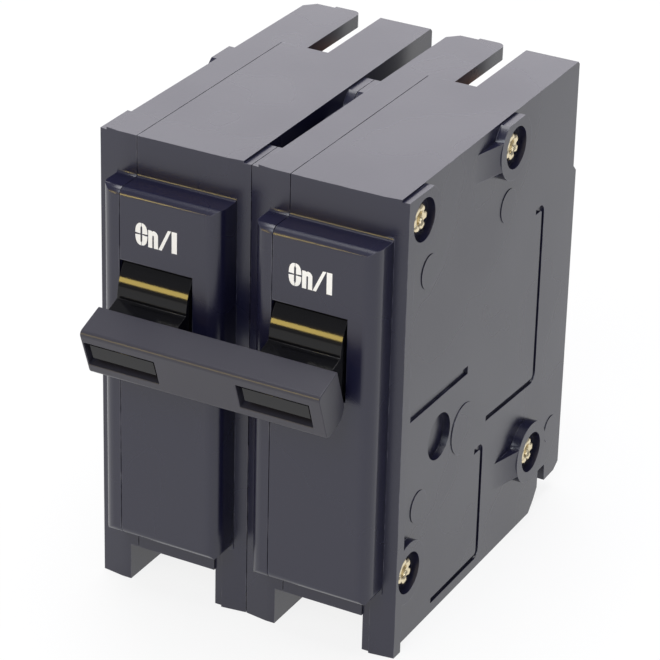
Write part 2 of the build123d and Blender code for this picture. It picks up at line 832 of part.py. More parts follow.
    # ---- cradle pin, held in the two side walls ----
    with BuildPart() as cradle_pin:
        with BuildSketch(across(left + wall_left - trunnion_seat + joint_gap)):
            with Locations(cradle_point):
                Circle(cradle_pin_r)
        extrude(amount=wall_right - wall_left + 2 * (trunnion_seat - joint_gap))
    cradle_pin.part.label = f"cradle_pin_{side}"
    export_step(cradle_pin.part, f"parts/cradle_pin_{side}.step")

    # ---- toggle spring: close-wound coil between two eyes ----
    spring_run = Vector(0, post_depth - cradle_post[0], post_height - cradle_post[1])
    spring_angle = Vector(0, 1, 0).get_signed_angle(spring_run, Vector(1, 0, 0))
    spring_plane = turned(left + spring_across, cradle_post[0], cradle_post[1], spring_angle)
    coil_start = spring_eye_r + spring_wire
    coil_step = (spring_run.length - 2 * coil_start) / spring_turns
    with BuildPart() as toggle_spring:
        with BuildSketch(spring_plane):
            with BuildLine():
                ridge = [(coil_start, spring_bore_r), (coil_start, spring_r - spring_wire / 2)]
                for turn in range(spring_turns):
                    ridge.append((coil_start + (turn + 0.5) * coil_step, spring_r))
                    ridge.append((coil_start + (turn + 1) * coil_step, spring_r - spring_wire / 2))
                ridge.append((coil_start + spring_turns * coil_step, spring_bore_r))
                Polyline(*ridge, close=True)
            make_face()
        revolve(axis=Axis(spring_plane.origin, spring_plane.x_dir))
        with BuildSketch(spring_plane.offset(-spring_eye_thick / 2)):
            for at in (0, spring_run.length):
                with Locations((at, 0)):
                    Circle(spring_eye_r)
            rect(0, -spring_bore_r, coil_start + spring_wire, spring_bore_r)
            far_start = spring_run.length - coil_start - spring_wire
            rect(far_start, -spring_bore_r, spring_run.length, spring_bore_r)
            for at in (0, spring_run.length):
                with Locations((at, 0)):
                    Circle(post_r + shaft_gap, mode=Mode.SUBTRACT)
        extrude(amount=spring_eye_thick)
    toggle_spring.part.label = f"toggle_spring_{side}"
    export_step(toggle_spring.part, f"parts/toggle_spring_{side}.step")

    # ---- fixed contact and line jaw, in line with the closed arm ----
    closed = turned(left + arm_middle, on_depth, on_height, arm_closed)
    face_height = arm_half + contact_thick + contact_gap
    fixed_seat = Plane(
        origin=closed.from_local_coords((contact_at, face_height, 0)),
        x_dir=(1, 0, 0),
        z_dir=closed.y_dir,
    )
    with BuildPart() as fixed_contact:
        with BuildSketch(fixed_seat):
            Circle(contact_r)
        extrude(amount=contact_thick)
        chamfer(fixed_contact.edges().filter_by(GeomType.CIRCLE).sort_by(Axis.Z)[0], button_edge)
    fixed_contact.part.label = f"fixed_contact_{side}"
    export_step(fixed_contact.part, f"parts/fixed_contact_{side}.step")

    near = closed.from_local_coords((contact_at - line_strap_foot, strap_foot, 0))
    near_top = closed.from_local_coords((contact_at - line_strap_foot, strap_foot + line_strap_thick, 0))
    with BuildPart() as line_jaw:
        with BuildSketch(across(left + centre - line_strap_half)):
            Polygon(
                (near.Y - front_y, near.Z),
                (seat_end.Y - front_y, seat_end.Z),
                (slot_front - line_wall, line_strap_low),
                (jaw_front + jaw_thick, line_strap_low),
                (jaw_front + jaw_thick, line_strap_low + line_strap_thick),
                (slot_front - line_wall - 1.0, line_strap_low + line_strap_thick),
                (near_top.Y - front_y, near_top.Z),
                align=None,
            )
        extrude(amount=2 * line_strap_half)
        jaw_middle = (slot_left + slot_right) / 2
        with BuildSketch(level(left, jaw_low)):
            for hand in (-1, 1):
                root = jaw_middle + hand * jaw_root_half
                grip = jaw_middle + hand * jaw_grip_half
                lip = jaw_middle + hand * (jaw_root_half + 0.1)
                Polygon(
                    (root, jaw_front),
                    (grip, jaw_grip_depth),
                    (lip, jaw_rear),
                    (lip + hand * jaw_thick * 0.9, jaw_rear),
                    (grip + hand * jaw_thick, jaw_grip_depth),
                    (root + hand * jaw_thick, jaw_front),
                    align=None,
                )
            jaw_half = jaw_root_half + jaw_thick
            rect(jaw_middle - jaw_half, jaw_front, jaw_middle + jaw_half, jaw_front + jaw_thick)
        extrude(amount=jaw_high - jaw_low)
    line_jaw.part.label = f"line_jaw_{side}"
    export_step(line_jaw.part, f"parts/line_jaw_{side}.step")

    # ---- arc chute: steel plates notched for the arm, between two fibre sides ----
    chute_left = wall_left + chute_side + joint_gap
    chute_right = wall_right - chute_side - joint_gap
    with BuildPart() as arc_chute:
        for count in range(chute_count):
            with BuildSketch(level(left, chute_low + chute_pitch * (count + 0.25))):
                rect(chute_left, chute_front, chute_right, chute_rear)
                rect(
                    arm_middle - chute_notch_half,
                    chute_front,
                    arm_middle + chute_notch_half,
                    chute_notch_rear,
                    mode=Mode.SUBTRACT,
                )
            extrude(amount=chute_plate)
        for near_x in (wall_left, wall_right - chute_side):
            with BuildSketch(across(left + near_x)):
                rect(chute_front, chute_low, chute_rear, chute_low + chute_pitch * chute_count)
            extrude(amount=chute_side)
    arc_chute.part.label = f"arc_chute_{side}"
    export_step(arc_chute.part, f"parts/arc_chute_{side}.step")

    # ---- load strap from the lug to the bimetal ----
    with BuildPart() as load_strap:
        with BuildSketch(across(left + strap_left)):
            rect(strap_front, strap_low, bimetal_back + strap_thick, strap_low + strap_thick)
            rect(bimetal_back, strap_low, bimetal_back + strap_thick, strap_leg_top)
        extrude(amount=strap_width)
        with BuildSketch(facing(left, bimetal_back)):
            with Locations((centre, screw_height)):
                Circle(set_screw_r + shaft_gap)
        extrude(amount=-strap_thick, mode=Mode.SUBTRACT)
    load_strap.part.label = f"load_strap_{side}"
    export_step(load_strap.part, f"parts/load_strap_{side}.step")

    # ---- calibration screw through the strap's leg ----
    with BuildPart() as calibration_screw:
        with BuildSketch(facing(left, bimetal_back)):
            with Locations((centre, screw_height)):
                Circle(set_screw_r)
        extrude(amount=-set_screw_reach)
        with BuildSketch(facing(left, bimetal_back + set_screw_reach)):
            with Locations((centre, screw_height)):
                Circle(set_screw_head_r)
        extrude(amount=-set_screw_head)
        with BuildSketch(facing(left, bimetal_back + set_screw_reach + set_screw_head)):
            with Locations((centre, screw_height)):
                Rectangle(2 * set_screw_head_r, driver_slot)
        extrude(amount=driver_slot_depth, mode=Mode.SUBTRACT)
    calibration_screw.part.label = f"calibration_screw_{side}"
    export_step(calibration_screw.part, f"parts/calibration_screw_{side}.step")

    # ---- bimetal strip ----
    with BuildPart() as bimetal:
        with BuildSketch(facing(left, bimetal_back)):
            rect(centre - bimetal_width / 2, bimetal_low, centre + bimetal_width / 2, bimetal_top)
        extrude(amount=bimetal_thick)
    bimetal.part.label = f"bimetal_{side}"
    export_step(bimetal.part, f"parts/bimetal_{side}.step")

    # ---- magnet yoke around the bimetal, with ears for the armature ----
    with BuildPart() as magnet_yoke:
        with BuildSketch(across(left + centre - yoke_half_width)):
            Polygon(
                (yoke_front, yoke_top),
                (bimetal_back + yoke_thick, yoke_top),
                (bimetal_back + yoke_thick, yoke_low),
                (yoke_front + 2.2, yoke_low),
                (armature_point[0] + 1.0, armature_point[1] - ear_r),
                (armature_point[0] - 1.4, armature_point[1] - ear_r),
                (armature_point[0] - 1.4, armature_point[1] + ear_r),
                (yoke_front, yoke_low + 1.0),
                align=None,
            )
            with Locations(armature_point):
                Circle(armature_rod_r + shaft_gap, mode=Mode.SUBTRACT)
        extrude(amount=2 * yoke_half_width)
        with BuildSketch(level(left, armature_point[1] - ear_r)):
            rect(
                centre - yoke_half_width + yoke_thick,
                armature_point[0] - ear_r,
                centre + yoke_half_width - yoke_thick,
                bimetal_back,
            )
        extrude(amount=yoke_top, mode=Mode.SUBTRACT)
    magnet_yoke.part.label = f"magnet_yoke_{side}"
    export_step(magnet_yoke.part, f"parts/magnet_yoke_{side}.step")

    # ---- armature: plate, latch ledge and rod ----
    with BuildPart() as armature:
        with BuildSketch(facing(left, armature_point[0] + armature_thick / 2)):
            rect(centre - armature_half_width, armature_point[1], centre + armature_half_width, armature_top)
            rect(centre - yoke_half_width, yoke_low + 1.5, centre + yoke_half_width, yoke_top)
        extrude(amount=armature_thick)
        with BuildSketch(across(left + cradle_left - 0.3)):
            rect(
                latch_point[0] - latch_half_thick,
                latch_point[1] - rest_gap - 2 * latch_half_thick,
                armature_point[0] - armature_thick / 2,
                latch_point[1] - rest_gap,
            )
        extrude(amount=centre - cradle_left)
        with BuildSketch(across(left + centre - yoke_half_width)):
            with Locations(armature_point):
                Circle(armature_rod_r)
        extrude(amount=2 * yoke_half_width)
    armature.part.label = f"armature_{side}"
    export_step(armature.part, f"parts/armature_{side}.step")

    # ---- braid from the bimetal's top to the contact arm ----
    arm_joint = turned(left, off_depth, off_height, -arm_rest).from_local_coords((braid_at, 0, 0))
    with BuildPart() as braid:
        with BuildLine() as route:
            FilletPolyline(
                (left + braid_start, front_y + bimetal_back - bimetal_thick, bimetal_top - braid_drop),
                (left + braid_start, front_y + bimetal_back - braid_lead, bimetal_top - braid_drop),
                (left + braid_side, arm_joint.Y + braid_back, arm_joint.Z - braid_sag),
                (left + braid_side, arm_joint.Y, arm_joint.Z),
                (left + arm_left, arm_joint.Y, arm_joint.Z),
                radius=braid_bend,
            )
        with BuildSketch(Plane(origin=route.line @ 0, z_dir=route.line % 0)):
            Circle(braid_r)
        sweep()
    braid.part.label = f"braid_{side}"
    export_step(braid.part, f"parts/braid_{side}.step")

    # ---- terminal lug and its screw ----
    with BuildPart() as terminal_lug:
        with BuildSketch(level(left, lug_low)):
            rect(centre - lug_half_width, lug_front, centre + lug_half_width, lug_rear)
        extrude(amount=strap_low - lug_low)
        chamfer(terminal_lug.edges().filter_by(Axis.Z), 0.8)
        with BuildSketch(level(left, lug_low)):
            with Locations((centre, wire_depth)):
                Circle(wire_r)
        extrude(amount=strap_low - lug_low, mode=Mode.SUBTRACT)
        with BuildSketch(facing(left, lug_front)):
            with Locations((centre, lug_screw_height)):
                Circle(lug_screw_r + shaft_gap)
        extrude(amount=lug_front - wire_depth, mode=Mode.SUBTRACT)
    terminal_lug.part.label = f"terminal_lug_{side}"
    export_step(terminal_lug.part, f"parts/terminal_lug_{side}.step")

    screw_tip = wire_depth - wire_r - 0.6
    with BuildPart() as terminal_screw:
        with BuildSketch(facing(left, screw_tip)):
            with Locations((centre, lug_screw_height)):
                Circle(lug_screw_r)
        extrude(amount=screw_tip - lug_front + joint_gap)
        with BuildSketch(facing(left, lug_front - joint_gap)):
            with Locations((centre, lug_screw_height)):
                Circle(lug_screw_head_r)
        extrude(amount=lug_screw_head)
        with BuildSketch(facing(left, lug_front - joint_gap - lug_screw_head)):
            with Locations((centre, lug_screw_height)):
                Rectangle(2 * lug_screw_head_r, driver_slot)
        extrude(amount=-driver_slot_depth, mode=Mode.SUBTRACT)
    terminal_screw.part.label = f"terminal_screw_{side}"
    export_step(terminal_screw.part, f"parts/terminal_screw_{side}.step")

# ---- tie bar across both handles, with a window for each tenon ----
tie_middle = turned(-tie_half_length, pivot_depth, pivot_height, 180 + handle_rest)
with BuildPart() as handle_tie:
    with BuildSketch(tie_middle):
        Polygon(
            (tie_inner, -tie_half_height),
            (tie_outer, -tie_half_height),
            (tie_outer, tie_half_height),
            (tie_inner + tie_bevel, tie_half_height),
            (tie_inner, tie_half_height - tie_bevel),
            align=None,
        )
    extrude(amount=2 * tie_half_length)
    fillet(handle_tie.edges().filter_by(Axis.X).sort_by_distance((0, -100, 60))[0:2], tie_round)
    for left in (-pitch, 0.0):
        with BuildSketch(tie_middle.offset(left + tie_window_left + tie_half_length)):
            rect(tie_inner - joint_gap, -tie_window_high, tie_outer + joint_gap, -tie_window_low)
        extrude(amount=tie_window_right - tie_window_left, mode=Mode.SUBTRACT)
handle_tie.part.label = "handle_tie"
export_step(handle_tie.part, "parts/handle_tie.step")

# ---- trip bar through both poles, with a finger in front of each armature ----
bar_left = wall_left - pitch - trunnion_seat + joint_gap
bar_right = wall_right + trunnion_seat - joint_gap
finger_reach = armature_point[0] - armature_thick / 2 - rest_gap
with BuildPart() as trip_bar:
    with BuildSketch(across(bar_left)):
        with Locations(trip_point):
            Circle(trip_r)
    extrude(amount=bar_right - bar_left)
    for left in (-pitch, 0.0):
        with BuildSketch(across(left + finger_left)):
            with Locations(trip_point):
                Circle(trip_hub_r)
            Polygon(
                (trip_point[0] - finger_root, trip_point[1] + finger_root),
                (finger_reach - finger_slope, trip_point[1] + finger_high),
                (finger_reach, trip_point[1] + finger_high),
                (finger_reach, trip_point[1] + finger_low),
                (trip_point[0] + finger_heel, trip_point[1]),
                align=None,
            )
        extrude(amount=finger_width)
trip_bar.part.label = "trip_bar"
export_step(trip_bar.part, "parts/trip_bar.step")

# ---- tubular rivets through both poles, clinched over on the right ----
rivet_left = counterbore_depth - pitch
rivet_right = pitch - counterbore_depth
with BuildPart() as rivets:
    for depth, height in rivet_points:
        for start, length, radius in (
            (rivet_left - rivet_head_thick, rivet_head_thick, rivet_head_r),
            (rivet_left, rivet_right - rivet_left, rivet_r),
            (rivet_right, rivet_head_thick, rivet_head_r),
        ):
            with BuildSketch(across(start)):
                with Locations((depth, height)):
                    Circle(radius)
            extrude(amount=length)
        with BuildSketch(across(rivet_right + rivet_head_thick)):
            with Locations((depth, height)):
                Circle(rivet_bore_r)
        extrude(amount=-2 * rivet_head_thick, mode=Mode.SUBTRACT)
rivets.part.label = "rivets"
export_step(rivets.part, "parts/rivets.step")
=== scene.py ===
# %% [markdown]
# # A two-pole plug-on circuit breaker
# A breaker like this is two moulded black cases side by side, riveted together. A bar ties the two
# handles, so both poles switch as one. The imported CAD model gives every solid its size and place.
# This script gives those solids soft edges and real finishes, makes the small pieces that a plain
# solid can't show, and lights and frames the whole.

# %% Load the frame
import json
import math

import bmesh
import bpy
from mathutils import Matrix, Vector


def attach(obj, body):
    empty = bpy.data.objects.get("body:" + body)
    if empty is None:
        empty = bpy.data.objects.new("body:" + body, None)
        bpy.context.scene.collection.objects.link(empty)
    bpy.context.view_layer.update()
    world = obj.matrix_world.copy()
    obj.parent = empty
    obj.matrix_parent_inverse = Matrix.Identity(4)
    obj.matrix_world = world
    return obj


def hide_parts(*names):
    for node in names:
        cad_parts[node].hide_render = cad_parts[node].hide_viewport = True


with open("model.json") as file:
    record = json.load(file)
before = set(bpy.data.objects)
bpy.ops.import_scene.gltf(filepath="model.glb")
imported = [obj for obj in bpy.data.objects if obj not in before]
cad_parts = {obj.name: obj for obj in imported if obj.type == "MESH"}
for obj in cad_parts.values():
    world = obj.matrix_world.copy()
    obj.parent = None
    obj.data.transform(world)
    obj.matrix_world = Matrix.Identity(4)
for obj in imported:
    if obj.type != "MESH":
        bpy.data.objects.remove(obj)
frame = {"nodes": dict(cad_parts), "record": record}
nodes = frame["nodes"]
scene = bpy.context.scene


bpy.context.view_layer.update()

# %% [markdown]
# ## The camera first
# A long lens from some half a metre away keeps the upright edges almost parallel. The camera stands
# to the right, looks down by about 27 degrees and leans by one degree.
# Everything that follows is judged through it, so it's set before anything is made.

# %% Camera
mm = 0.001
camera_data = bpy.data.cameras.new("camera")
camera_data.sensor_width = 36
camera_data.lens = 179.7
camera = bpy.data.objects.new("camera", camera_data)
camera.location = (0.2119, -0.3934, 0.2651)
camera.rotation_euler = [math.radians(angle) for angle in (63.08, -1.28, 28.84)]
scene.collection.objects.link(camera)
scene.camera = camera

# %% [markdown]
# ## Effects that several materials share
# Moulded plastic is never quite even: it has a fine orange-peel grain and faint cloudy patches of
# gloss. Its edges are painted paler, partly as rubbed wear and partly as a painted highlight standing
# in for the thin line of light that a round catches. Metals have fine drawn or rolled lines. Each
# effect is a node group with named inputs, so each material can set its own strength.

# %% Helpers for node groups
def new_group(name, inputs, outputs):
    """An empty shader group with float inputs and the outputs asked for."""
    group = bpy.data.node_groups.new(name, "ShaderNodeTree")
    for label, value in inputs:
        socket = group.interface.new_socket(label, in_out="INPUT", socket_type="NodeSocketFloat")
        socket.default_value = value
    for label, kind in outputs:
        group.interface.new_socket(label, in_out="OUTPUT", socket_type=kind)
    return group, group.nodes.new("NodeGroupInput"), group.nodes.new("NodeGroupOutput")


def add(tree, kind, **settings):
    """A node of one kind, with its settings."""
    node = tree.nodes.new(kind)
    for key, value in settings.items():
        setattr(node, key, value)
    return node


def noise(tree, place, scale, detail=3.0):
    """A noise texture on the given coordinates, at a scale in cycles per metre."""
    texture = add(tree, "ShaderNodeTexNoise")
    texture.inputs["Scale"].default_value = scale
    texture.inputs["Detail"].default_value = detail
    tree.links.new(place, texture.inputs["Vector"])
    return texture


def remap(tree, source, low, high, to_low, to_high):
    """A value moved from one range to another, and held inside it."""
    node = add(tree, "ShaderNodeMapRange")
    node.inputs["From Min"].default_value = low
    node.inputs["From Max"].default_value = high
    node.inputs["To Min"].default_value = to_low
    node.inputs["To Max"].default_value = to_high
    tree.links.new(source, node.inputs["Value"])
    return node.outputs["Result"]


# %% Moulded grain
moulded_grain, grain_in, grain_out = new_group(
    "moulded_grain",
    [("Grain", 0.2), ("Clouding", 0.1), ("Roughness", 0.4)],
    [("Height", "NodeSocketFloat"), ("Roughness", "NodeSocketFloat"), ("Cloud", "NodeSocketFloat")],
)
links = moulded_grain.links
place = add(moulded_grain, "ShaderNodeTexCoord").outputs["Object"]
fine = noise(moulded_grain, place, 2600.0)
broad = noise(moulded_grain, place, 45.0, detail=2.0)
height = add(moulded_grain, "ShaderNodeMath", operation="MULTIPLY")
links.new(fine.outputs["Fac"], height.inputs[0])
links.new(grain_in.outputs["Grain"], height.inputs[1])
links.new(height.outputs[0], grain_out.inputs["Height"])
cloud = remap(moulded_grain, broad.outputs["Fac"], 0.35, 0.65, -0.5, 0.5)
swing = add(moulded_grain, "ShaderNodeMath", operation="MULTIPLY_ADD")
links.new(cloud, swing.inputs[0])
links.new(grain_in.outputs["Clouding"], swing.inputs[1])
links.new(grain_in.outputs["Roughness"], swing.inputs[2])
links.new(swing.outputs[0], grain_out.inputs["Roughness"])
links.new(cloud, grain_out.inputs["Cloud"])

# %% Rubbed edges and painted edge highlights
wear_and_edge_highlight, wear_highlight_in, wear_highlight_out = new_group(
    "wear_and_edge_highlight",
    [("Amount", 0.5), ("Break up", 0.5)],
    [("Mask", "NodeSocketFloat")],
)
links = wear_and_edge_highlight.links
place = add(wear_and_edge_highlight, "ShaderNodeTexCoord").outputs["Object"]
# The rounds along every edge are painted paler, broken up by noise. This is partly rubbed wear and
# partly a painted highlight standing in for the thin line of light a round catches.
rounded = add(wear_and_edge_highlight, "ShaderNodeBevel", samples=4)
rounded.inputs["Radius"].default_value = 0.2 * mm
turn = add(wear_and_edge_highlight, "ShaderNodeVectorMath", operation="DOT_PRODUCT")
links.new(rounded.outputs["Normal"], turn.inputs[0])
links.new(add(wear_and_edge_highlight, "ShaderNodeNewGeometry").outputs["Normal"], turn.inputs[1])
edge = remap(wear_and_edge_highlight, turn.outputs["Value"], 0.98, 0.86, 0.0, 1.0)
scuff_and_highlight_noise = noise(wear_and_edge_highlight, place, 300.0, detail=8.0)
patches = remap(wear_and_edge_highlight, scuff_and_highlight_noise.outputs["Fac"], 0.46, 0.66, 0.0, 1.0)
broken = add(wear_and_edge_highlight, "ShaderNodeMath", operation="MULTIPLY")
links.new(edge, broken.inputs[0])
links.new(patches, broken.inputs[1])
amount = add(wear_and_edge_highlight, "ShaderNodeMath", operation="MULTIPLY", use_clamp=True)
links.new(broken.outputs[0], amount.inputs[0])
links.new(wear_highlight_in.outputs["Amount"], amount.inputs[1])
links.new(amount.outputs[0], wear_highlight_out.inputs["Mask"])

# %% Drawn lines on metal
drawn_lines, drawn_in, drawn_out = new_group(
    "drawn_lines",
    [("Roughness", 0.35), ("Variation", 0.2)],
    [("Roughness", "NodeSocketFloat"), ("Height", "NodeSocketFloat")],
)
links = drawn_lines.links
stretch = add(drawn_lines, "ShaderNodeMapping")
stretch.inputs["Scale"].default_value = (1.0, 14.0, 14.0)
links.new(add(drawn_lines, "ShaderNodeTexCoord").outputs["Object"], stretch.inputs["Vector"])
lines = noise(drawn_lines, stretch.outputs["Vector"], 260.0, detail=4.0)
spread = remap(drawn_lines, lines.outputs["Fac"], 0.3, 0.7, -0.5, 0.5)
swing = add(drawn_lines, "ShaderNodeMath", operation="MULTIPLY_ADD")
links.new(spread, swing.inputs[0])
links.new(drawn_in.outputs["Variation"], swing.inputs[1])
links.new(drawn_in.outputs["Roughness"], swing.inputs[2])
links.new(swing.outputs[0], drawn_out.inputs["Roughness"])
links.new(lines.outputs["Fac"], drawn_out.inputs["Height"])

# %% [markdown]
# ## Finishes
# The case is a dark thermoset with a satin skin. Seen flat on it's nearly black, and seen at a
# slant it mirrors the room as a soft grey, so its tone comes from its gloss and not from paint.
# The handles are a blacker plastic, moulded in a polished tool, and the bar that ties them is a
# duller one. The metals are copper for what carries current, silver for the contacts, and plated
# steel for what only moves.

# %% Plastic
def new_material(name):
    """A new material, its node tree and its main shader."""
    material = bpy.data.materials.new(name)
    material.use_nodes = True
    return material, material.node_tree, material.node_tree.nodes["Principled BSDF"]


def plastic(name, index, colour, worn_and_lit, roughness, grain, clouding, wear_and_highlight):
    """A moulded plastic with grain, cloudy gloss, and edges painted paler as rubbed wear and as a
    painted highlight.
    """
    material, tree, shader = new_material(name)
    shader.inputs["IOR"].default_value = index
    skin = add(tree, "ShaderNodeGroup", node_tree=moulded_grain)
    skin.inputs["Grain"].default_value = grain
    skin.inputs["Clouding"].default_value = clouding
    skin.inputs["Roughness"].default_value = roughness
    edge_wear_and_light = add(tree, "ShaderNodeGroup", node_tree=wear_and_edge_highlight)
    edge_wear_and_light.inputs["Amount"].default_value = wear_and_highlight
    # The edge mask blends in the paler edge colour: rubbed wear, and a painted highlight for the
    # light the rounds catch.
    blend = add(tree, "ShaderNodeMix", data_type="RGBA")
    blend.inputs["A"].default_value = (*colour, 1.0)
    blend.inputs["B"].default_value = (*worn_and_lit, 1.0)
    bump = add(tree, "ShaderNodeBump")
    bump.inputs["Strength"].default_value = 0.25
    bump.inputs["Distance"].default_value = 0.05 * mm
    tree.links.new(edge_wear_and_light.outputs["Mask"], blend.inputs["Factor"])
    tree.links.new(blend.outputs["Result"], shader.inputs["Base Color"])
    tree.links.new(skin.outputs["Roughness"], shader.inputs["Roughness"])
    tree.links.new(skin.outputs["Height"], bump.inputs["Height"])
    tree.links.new(bump.outputs["Normal"], shader.inputs["Normal"])
    return material


# Each plastic's paler edge colour is painted on as rubbed wear and as a painted edge highlight. The
# case's edge colour is a pale blue-grey.
case_plastic = plastic(
    "case_plastic",
    index=1.6,
    colour=(0.009, 0.009, 0.028),
    worn_and_lit=(0.16, 0.16, 0.2),
    roughness=0.27,
    grain=0.5,
    clouding=0.06,
    wear_and_highlight=0.8,
)
handle_plastic = plastic(
    "handle_plastic",
    index=1.35,
    colour=(0.004, 0.004, 0.005),
    worn_and_lit=(0.1, 0.09, 0.1),
    roughness=0.09,
    grain=0.15,
    clouding=0.03,
    wear_and_highlight=0.4,
)
tie_plastic = plastic(
    "tie_plastic",
    index=1.4,
    colour=(0.036, 0.035, 0.048),
    worn_and_lit=(0.13, 0.12, 0.13),
    roughness=0.32,
    grain=0.5,
    clouding=0.06,
    wear_and_highlight=0.6,
)


# %% Metal
def metal(name, colour, roughness, variation):
    """A bare metal with fine drawn lines."""
    material, tree, shader = new_material(name)
    shader.inputs["Base Color"].default_value = (*colour, 1.0)
    shader.inputs["Metallic"].default_value = 1.0
    drawn = add(tree, "ShaderNodeGroup", node_tree=drawn_lines)
    drawn.inputs["Roughness"].default_value = roughness
    drawn.inputs["Variation"].default_value = variation
    bump = add(tree, "ShaderNodeBump")
    bump.inputs["Strength"].default_value = 0.15
    bump.inputs["Distance"].default_value = 0.02 * mm
    tree.links.new(drawn.outputs["Roughness"], shader.inputs["Roughness"])
    tree.links.new(drawn.outputs["Height"], bump.inputs["Height"])
    tree.links.new(bump.outputs["Normal"], shader.inputs["Normal"])
    return material


finishes = {
    "case": case_plastic,
    "handle": handle_plastic,
    "copper": metal("copper", (0.72, 0.43, 0.28), 0.32, 0.2),
    "silver": metal("contact_silver", (0.8, 0.79, 0.77), 0.3, 0.1),
    "steel": metal("plated_steel", (0.5, 0.5, 0.52), 0.34, 0.2),
    "spring_steel": metal("spring_steel", (0.42, 0.42, 0.44), 0.3, 0.1),
    "bimetal": metal("bimetal_strip", (0.55, 0.5, 0.42), 0.36, 0.25),
    "brass": metal("turned_brass", (0.75, 0.6, 0.33), 0.28, 0.1),
    "lug": metal("plated_lug", (0.7, 0.7, 0.71), 0.3, 0.15),
    "zinc": metal("zinc_plate", (0.62, 0.63, 0.66), 0.3, 0.15),
    "rivet_brass": metal("rivet_brass", (0.78, 0.68, 0.47), 0.26, 0.15),
}
slot_of = {part["node"]: part["material_slot"] for part in frame["record"]["subparts"]}
for name, node in nodes.items():
    node.data.materials.clear()
    node.data.materials.append(finishes[slot_of[name]])
print("finishes", len(finishes), "on", len(nodes), "solids")


# %% White print
print_white, tree, shader = new_material("print_white")
ink = add(tree, "ShaderNodeGroup", node_tree=moulded_grain)
ink.inputs["Clouding"].default_value = 0.15
ink.inputs["Roughness"].default_value = 0.6
ink_shade = remap(tree, ink.outputs["Cloud"], -0.5, 0.5, 0.8, 0.9)
ink_colour = add(tree, "ShaderNodeCombineColor")
for channel in ("Red", "Green", "Blue"):
    tree.links.new(ink_shade, ink_colour.inputs[channel])
tree.links.new(ink_colour.outputs["Color"], shader.inputs["Base Color"])
tree.links.new(ink.outputs["Roughness"], shader.inputs["Roughness"])

# %% [markdown]
# ## Soft edges on the mouldings
# No moulded edge is a perfect corner. A narrow round catches a thin line of light, and where two
# mouldings meet, their two rounds make the fine dark joint that shows where one ends and the other
# starts. A copy of each solid is merged, its flat faces are joined, and its sharp edges are
# bevelled. The copy then stands for the solid.

# %% Soften
same_point = 0.002


def piece_from(bm, name, body, material):
    """A finished piece from a bmesh: it rides on a body and takes the finish it is given."""
    mesh = bpy.data.meshes.new(name)
    bm.to_mesh(mesh)
    bm.free()
    piece = bpy.data.objects.new(name, mesh)
    scene.collection.objects.link(piece)
    mesh.materials.append(material)
    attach(piece, body)
    return piece


def body_holding(node_name):
    """The body that a CAD node belongs to."""
    return next(b for b, held in frame["record"]["behaviour"]["bodies"].items() if node_name in held)


def soften(node_name, width, segments=2, sharp=28, joints=(), finish=None):
    """A copy of a CAD solid with its sharp edges rounded, in place of the solid.

    Each joint is a plane across and a step: what lies on that plane moves by the step. Angles are in
    degrees and lengths in millimetres.
    """
    bm = bmesh.new()
    bm.from_mesh(nodes[node_name].data)
    bmesh.ops.remove_doubles(bm, verts=bm.verts, dist=same_point * mm)
    bmesh.ops.dissolve_limit(bm, angle_limit=math.radians(0.5), verts=bm.verts, edges=bm.edges)
    for across, step in joints:
        for vert in bm.verts:
            if abs(vert.co.x - across * mm) < 0.005 * mm:
                vert.co.x += step * mm
    edges = [e for e in bm.edges if e.is_manifold and e.calc_face_angle(0.0) > math.radians(sharp)]
    bmesh.ops.bevel(
        bm,
        geom=edges,
        affect="EDGES",
        offset=width * mm,
        segments=segments,
        profile=0.5,
        material=-1,
        clamp_overlap=True,
    )
    for face in bm.faces:
        face.smooth = True
    slot_name = slot_of[node_name]
    material = finish or finishes[slot_name]
    piece = piece_from(bm, node_name + "_soft", body_holding(node_name), material)
    piece.data.set_sharp_from_angle(angle=math.radians(40))
    weigh = piece.modifiers.new("weigh", "WEIGHTED_NORMAL")
    weigh.keep_sharp = True
    weigh.weight = 100
    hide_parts(node_name)
    print(node_name, "edges", len(edges), "faces", len(piece.data.polygons))
    return piece


pitch = 25.4
poles = (("left", -pitch), ("right", 0.0))
parting = 6.6
seam = 0.06
case_edge = 0.18
for side, left in poles:
    soften(f"base_{side}", case_edge, joints=((left + parting, seam), (left + pitch, -seam)))
    soften(f"cover_{side}", case_edge, joints=((left + parting, -seam), (left, seam)))
    soften(f"handle_{side}", 0.3)
soften("handle_tie", 0.25, finish=tie_plastic)

# %% [markdown]
# ## Marks of the ejector pins
# Where the mould's pins pushed the case out, they left round pads that stand a tenth of a millimetre
# proud of the side. The side draws in a little toward the rear, and each pad leans with it. A pad is
# given by its depth behind the front wall, its height and its radius.

# %% Pads
rim_side = 24.2
rim_depth = 2.6
side_lean = -0.0103
front_wall = -23.25
pad_rise = 0.12
pad_root = 0.4
pad_draft = 0.03
pads = [
    (9.9, 59.8, 2.7),
    (36.0, 59.8, 2.7),
    (23.7, 27.8, 4.2),
    (9.1, 21.5, 2.6),
    (56.6, 12.3, 2.3),
]

for side, left in poles:
    bm = bmesh.new()
    for depth, height, radius in pads:
        skin = left + rim_side + side_lean * (depth - rim_depth)
        middle_x = skin + (pad_rise - pad_root) / 2
        place = Matrix.Translation(Vector((middle_x, front_wall + depth, height)) * mm)
        lean = Matrix.Rotation(-side_lean, 4, "Z") @ Matrix.Rotation(math.radians(90), 4, "Y")
        bmesh.ops.create_cone(
            bm,
            cap_ends=True,
            segments=96,
            radius1=radius * mm,
            radius2=(radius - pad_draft) * mm,
            depth=(pad_rise + pad_root) * mm,
            matrix=place @ lean,
        )
    pad_piece = piece_from(bm, f"ejector_pads_{side}", "case", case_plastic)
    print(pad_piece.name, "faces", len(pad_piece.data.polygons))

